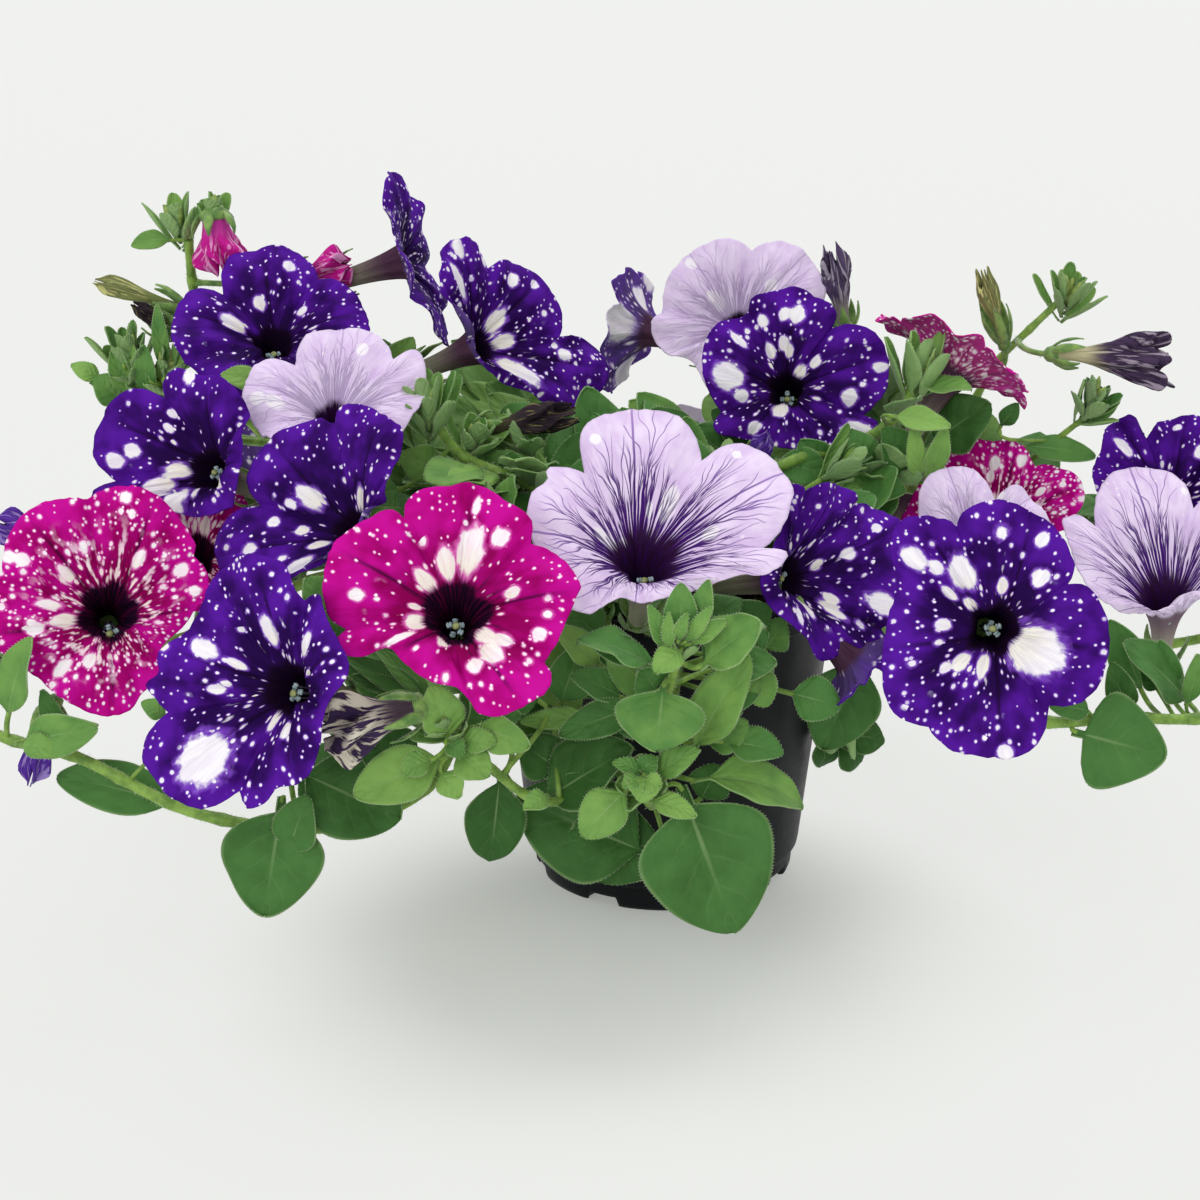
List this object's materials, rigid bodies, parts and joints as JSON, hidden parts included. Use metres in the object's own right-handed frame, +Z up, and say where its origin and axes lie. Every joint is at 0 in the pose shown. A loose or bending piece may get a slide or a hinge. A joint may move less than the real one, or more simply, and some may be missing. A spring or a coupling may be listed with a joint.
{
  "type": "potted petunia",
  "caption": "Bushy petunia with trailing leafy stems and speckled and veined funnel flowers, growing in a small round plastic nursery pot.",
  "frame": {"origin": "middle of the pot's foot, on the surface that the pot stands on", "axes": "+Z up; -Y towards the front of the plant, as the picture shows it; +X to its right"},
  "size_m": [0.4022, 0.2991, 0.2055],
  "materials": {
    "pot_plastic": "satin black",
    "potting_mix": "rough peat",
    "stem_green": "hairy",
    "leaf_green": "soft hairy",
    "petal_purple": "velvety",
    "petal_magenta": "velvety",
    "petal_lavender": "velvety",
    "petal_wilted": "creased"
  },
  "bodies": {
    "root": {"flower_closed_right": "petal_wilted", "flower_closed_up": "petal_wilted", "flower_lavender_back_left": "petal_lavender", "flower_lavender_centre": "petal_lavender", "flower_lavender_rear": "petal_lavender", "flower_lavender_right": "petal_lavender", "flower_lavender_right_back": "petal_lavender", "flower_lavender_top": "petal_lavender", "flower_magenta_behind_left": "petal_magenta", "flower_magenta_centre": "petal_magenta", "flower_magenta_left": "petal_magenta", "flower_magenta_rear": "petal_magenta", "flower_magenta_right_back": "petal_magenta", "flower_magenta_turned_away": "petal_magenta", "flower_purple_back_left": "petal_purple", "flower_purple_centre_left": "petal_purple", "flower_purple_edge_on": "petal_purple", "flower_purple_front_left": "petal_purple", "flower_purple_front_right": "petal_purple", "flower_purple_left": "petal_purple", "flower_purple_rear_left": "petal_purple", "flower_purple_rear_right": "petal_purple", "flower_purple_right_centre": "petal_purple", "flower_purple_right_edge": "petal_purple", "flower_purple_top": "petal_purple", "flower_purple_top_right": "petal_purple", "flower_purple_top_turned": "petal_purple", "flower_wilted_front": "petal_wilted", "leaf_front_big": "leaf_green", "leaf_front_dark_left": "leaf_green", "leaf_front_right": "leaf_green", "leaf_front_round": "leaf_green", "leaf_heart_left": "leaf_green", "leaf_heart_right": "leaf_green", "leaf_left_back": "leaf_green", "leaf_middle_left": "leaf_green", "leaf_rear_left": "leaf_green", "leaf_rear_middle": "leaf_green", "leaf_rear_right": "leaf_green", "leaf_right_behind": "leaf_green", "leaf_shoot_left": "leaf_green", "leaf_shoot_right": "leaf_green", "pot": "pot_plastic", "soil": "potting_mix", "stem_back": "stem_green", "stem_back_left": "stem_green", "stem_back_right": "stem_green", "stem_front": "stem_green", "stem_front_left": "stem_green", "stem_front_shoot": "stem_green", "stem_left": "stem_green", "stem_left_trailing": "stem_green", "stem_middle": "stem_green", "stem_rear_left": "stem_green", "stem_rear_right": "stem_green", "stem_right": "stem_green", "stem_right_front": "stem_green", "stem_right_rear": "stem_green", "stem_right_top": "stem_green", "stem_upper_right": "stem_green"}
  },
  "joints": []
}
